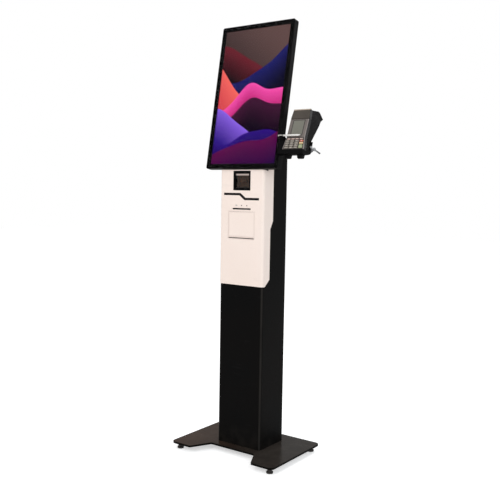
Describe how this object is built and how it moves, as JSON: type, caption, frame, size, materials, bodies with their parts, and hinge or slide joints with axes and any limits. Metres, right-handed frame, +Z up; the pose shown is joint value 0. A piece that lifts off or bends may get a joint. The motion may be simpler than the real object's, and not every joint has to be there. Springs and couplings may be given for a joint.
{
  "type": "self-service kiosk",
  "caption": "Floor-standing self-service kiosk: black column on a base plate, tall tilted display, white cover with code scanner and receipt printer, payment terminal on a side arm.",
  "frame": {"origin": "on the floor, under the middle of the base plate", "axes": "+Z up, -Y out of the front with the cover and the display, +X towards the payment terminal"},
  "size_m": [0.5365, 0.344, 1.6805],
  "materials": {
    "black_paint": "satin powder coat",
    "white_paint": "fine satin powder coat, warm white",
    "stripe_film": "matt black decal film",
    "black_plastic": "fine texture moulded black",
    "tinted_glass": "brown tinted scanner glass",
    "module_plastic": "moulded reader body",
    "clear_glass": "clear toughened glass",
    "picture": null,
    "zinc_steel": "zinc plated",
    "cast_alloy": "dark anodised, finned",
    "chrome_plate": "bright plate",
    "platen_rubber": "matt rubber",
    "receipt_paper": "plain thermal paper",
    "button_plastic": "light moulded button",
    "lamp_plastic": "dark lamp lens",
    "grey_lever": "grey coated",
    "white_plastic": "white moulded",
    "terminal_black": "near black moulded",
    "terminal_taupe": "grey taupe moulded",
    "lens_plastic": "grey green display lens",
    "lid_plastic": "dark taupe moulded",
    "board": "circuit board",
    "foot_steel": "dark plated",
    "key_dark": "dark key cap",
    "key_light": "light key cap",
    "key_red": "red key cap",
    "key_yellow": "yellow key cap",
    "key_green": "green key cap"
  },
  "bodies": {
    "stand": {"base_plate": "black_paint", "base_bolts": "zinc_steel", "column": "black_paint", "column_cap": "black_paint", "front_cover": "white_paint", "accent_stripe": "stripe_film", "scanner_bezel": "black_plastic", "scanner_window": "tinted_glass", "scanner_module": "module_plastic", "indicator_lenses": "lamp_plastic", "printer_frame": "zinc_steel", "print_head": "cast_alloy", "display_bracket": "black_paint", "display_rear_shell": "black_plastic", "display_frame": "black_plastic", "display_panel": "picture", "display_glass": "clear_glass", "bracket_screws": "zinc_steel", "terminal_arm": "black_paint", "power_supply": "zinc_steel", "computer_box": "cast_alloy", "power_inlet": "black_plastic"},
    "rear_door": {"rear_door": "black_paint"},
    "door_lock": {"door_lock": "chrome_plate"},
    "printer_door": {"printer_door": "white_paint"},
    "platen_roller": {"platen_roller": "platen_rubber"},
    "paper_roll": {"paper_roll": "receipt_paper"},
    "feed_button": {"feed_button": "button_plastic"},
    "terminal": {"holder_cradle": "black_plastic", "terminal_base_case": "terminal_black", "terminal_top_case": "terminal_taupe", "terminal_lens": "lens_plastic", "terminal_board": "board"},
    "clamp_lever": {"clamp_lever": "grey_lever"},
    "terminal_lid": {"terminal_lid": "lid_plastic"},
    "terminal_roll": {"terminal_roll": "receipt_paper"},
    "stylus": {"stylus": "white_plastic"},
    "foot_front_left": {"foot_front_left": "foot_steel"},
    "foot_front_right": {"foot_front_right": "foot_steel"},
    "foot_back_left": {"foot_back_left": "foot_steel"},
    "foot_back_right": {"foot_back_right": "foot_steel"},
    "key_function_1": {"key_function_1": "key_light"},
    "key_function_2": {"key_function_2": "key_light"},
    "key_function_3": {"key_function_3": "key_light"},
    "key_function_4": {"key_function_4": "key_light"},
    "key_star": {"key_star": "key_dark"},
    "key_0": {"key_0": "key_dark"},
    "key_hash": {"key_hash": "key_dark"},
    "key_7": {"key_7": "key_dark"},
    "key_8": {"key_8": "key_dark"},
    "key_9": {"key_9": "key_dark"},
    "key_4": {"key_4": "key_dark"},
    "key_5": {"key_5": "key_dark"},
    "key_6": {"key_6": "key_dark"},
    "key_1": {"key_1": "key_dark"},
    "key_2": {"key_2": "key_dark"},
    "key_3": {"key_3": "key_dark"},
    "key_cancel": {"key_cancel": "key_red"},
    "key_clear": {"key_clear": "key_yellow"},
    "key_enter": {"key_enter": "key_green"}
  },
  "joints": [
    {"name": "rear_door_hinge", "type": "hinge", "parent": "stand", "child": "rear_door", "pos_m": [-0.0855, 0.1185, 0.64], "axis": [0, 0, 1], "range_deg": [0, 110]},
    {"name": "terminal_tilt", "type": "hinge", "parent": "stand", "child": "terminal", "pos_m": [0.2365, -0.00356, 1.18823], "axis": [1, 0, 0], "range_deg": [-8, 20]},
    {"name": "printer_door_hinge", "type": "hinge", "parent": "stand", "child": "printer_door", "pos_m": [0, -0.048, 0.8555], "axis": [1, 0, 0], "range_deg": [0, 95]},
    {"name": "terminal_lid_hinge", "type": "hinge", "parent": "terminal", "child": "terminal_lid", "pos_m": [0.2365, 0.01055, 1.33391], "axis": [-1, 0, 0], "range_deg": [0, 90]},
    {"name": "clamp_lever_turn", "type": "hinge", "parent": "stand", "child": "clamp_lever", "pos_m": [0.2785, -0.00356, 1.18823], "axis": [-1, 0, 0], "range_deg": [0, 90]},
    {"name": "stylus_pull", "type": "slide", "parent": "terminal", "child": "stylus", "axis": [-1, 0, 0], "range_m": [0, 0.04]},
    {"name": "door_lock_turn", "type": "hinge", "parent": "rear_door", "child": "door_lock", "pos_m": [0.068, 0.114, 0.64], "axis": [0, 1, 0], "range_deg": [0, 90]},
    {"name": "paper_roll_spin", "type": "hinge", "parent": "stand", "child": "paper_roll", "pos_m": [0, 0.002, 0.897], "axis": [1, 0, 0], "continuous": true},
    {"name": "platen_spin", "type": "hinge", "parent": "stand", "child": "platen_roller", "pos_m": [0, -0.034, 0.9708], "axis": [1, 0, 0], "continuous": true},
    {"name": "terminal_roll_spin", "type": "hinge", "parent": "terminal", "child": "terminal_roll", "pos_m": [0.2365, 0.01868, 1.30039], "axis": [1, 0, 0], "continuous": true},
    {"name": "feed_button_press", "type": "slide", "parent": "stand", "child": "feed_button", "axis": [0, 1, 0], "range_m": [0, 0.0008], "stiffness_N_per_m": 600, "springref_m": -0.001},
    {"name": "key_function_1_press", "type": "slide", "parent": "terminal", "child": "key_function_1", "axis": [0, 0.9285, -0.3714], "range_m": [0, 0.0012], "stiffness_N_per_m": 500, "springref_m": -0.001},
    {"name": "key_function_2_press", "type": "slide", "parent": "terminal", "child": "key_function_2", "axis": [0, 0.9285, -0.3714], "range_m": [0, 0.0012], "stiffness_N_per_m": 500, "springref_m": -0.001},
    {"name": "key_function_3_press", "type": "slide", "parent": "terminal", "child": "key_function_3", "axis": [0, 0.9285, -0.3714], "range_m": [0, 0.0012], "stiffness_N_per_m": 500, "springref_m": -0.001},
    {"name": "key_function_4_press", "type": "slide", "parent": "terminal", "child": "key_function_4", "axis": [0, 0.9285, -0.3714], "range_m": [0, 0.0012], "stiffness_N_per_m": 500, "springref_m": -0.001},
    {"name": "key_star_press", "type": "slide", "parent": "terminal", "child": "key_star", "axis": [0, 0.9285, -0.3714], "range_m": [0, 0.0012], "stiffness_N_per_m": 500, "springref_m": -0.001},
    {"name": "key_0_press", "type": "slide", "parent": "terminal", "child": "key_0", "axis": [0, 0.9285, -0.3714], "range_m": [0, 0.0012], "stiffness_N_per_m": 500, "springref_m": -0.001},
    {"name": "key_hash_press", "type": "slide", "parent": "terminal", "child": "key_hash", "axis": [0, 0.9285, -0.3714], "range_m": [0, 0.0012], "stiffness_N_per_m": 500, "springref_m": -0.001},
    {"name": "key_7_press", "type": "slide", "parent": "terminal", "child": "key_7", "axis": [0, 0.9285, -0.3714], "range_m": [0, 0.0012], "stiffness_N_per_m": 500, "springref_m": -0.001},
    {"name": "key_8_press", "type": "slide", "parent": "terminal", "child": "key_8", "axis": [0, 0.9285, -0.3714], "range_m": [0, 0.0012], "stiffness_N_per_m": 500, "springref_m": -0.001},
    {"name": "key_9_press", "type": "slide", "parent": "terminal", "child": "key_9", "axis": [0, 0.9285, -0.3714], "range_m": [0, 0.0012], "stiffness_N_per_m": 500, "springref_m": -0.001},
    {"name": "key_4_press", "type": "slide", "parent": "terminal", "child": "key_4", "axis": [0, 0.9285, -0.3714], "range_m": [0, 0.0012], "stiffness_N_per_m": 500, "springref_m": -0.001},
    {"name": "key_5_press", "type": "slide", "parent": "terminal", "child": "key_5", "axis": [0, 0.9285, -0.3714], "range_m": [0, 0.0012], "stiffness_N_per_m": 500, "springref_m": -0.001},
    {"name": "key_6_press", "type": "slide", "parent": "terminal", "child": "key_6", "axis": [0, 0.9285, -0.3714], "range_m": [0, 0.0012], "stiffness_N_per_m": 500, "springref_m": -0.001},
    {"name": "key_1_press", "type": "slide", "parent": "terminal", "child": "key_1", "axis": [0, 0.9285, -0.3714], "range_m": [0, 0.0012], "stiffness_N_per_m": 500, "springref_m": -0.001},
    {"name": "key_2_press", "type": "slide", "parent": "terminal", "child": "key_2", "axis": [0, 0.9285, -0.3714], "range_m": [0, 0.0012], "stiffness_N_per_m": 500, "springref_m": -0.001},
    {"name": "key_3_press", "type": "slide", "parent": "terminal", "child": "key_3", "axis": [0, 0.9285, -0.3714], "range_m": [0, 0.0012], "stiffness_N_per_m": 500, "springref_m": -0.001},
    {"name": "key_cancel_press", "type": "slide", "parent": "terminal", "child": "key_cancel", "axis": [0, 0.9285, -0.3714], "range_m": [0, 0.0012], "stiffness_N_per_m": 500, "springref_m": -0.001},
    {"name": "key_clear_press", "type": "slide", "parent": "terminal", "child": "key_clear", "axis": [0, 0.9285, -0.3714], "range_m": [0, 0.0012], "stiffness_N_per_m": 500, "springref_m": -0.001},
    {"name": "key_enter_press", "type": "slide", "parent": "terminal", "child": "key_enter", "axis": [0, 0.9285, -0.3714], "range_m": [0, 0.0012], "stiffness_N_per_m": 500, "springref_m": -0.001},
    {"name": "foot_front_left_turn", "type": "hinge", "parent": "stand", "child": "foot_front_left", "pos_m": [-0.216, -0.146, 0.01], "axis": [0, 0, 1], "continuous": true},
    {"name": "foot_front_right_turn", "type": "hinge", "parent": "stand", "child": "foot_front_right", "pos_m": [0.216, -0.146, 0.01], "axis": [0, 0, 1], "continuous": true},
    {"name": "foot_back_left_turn", "type": "hinge", "parent": "stand", "child": "foot_back_left", "pos_m": [-0.216, 0.146, 0.01], "axis": [0, 0, 1], "continuous": true},
    {"name": "foot_back_right_turn", "type": "hinge", "parent": "stand", "child": "foot_back_right", "pos_m": [0.216, 0.146, 0.01], "axis": [0, 0, 1], "continuous": true}
  ]
}
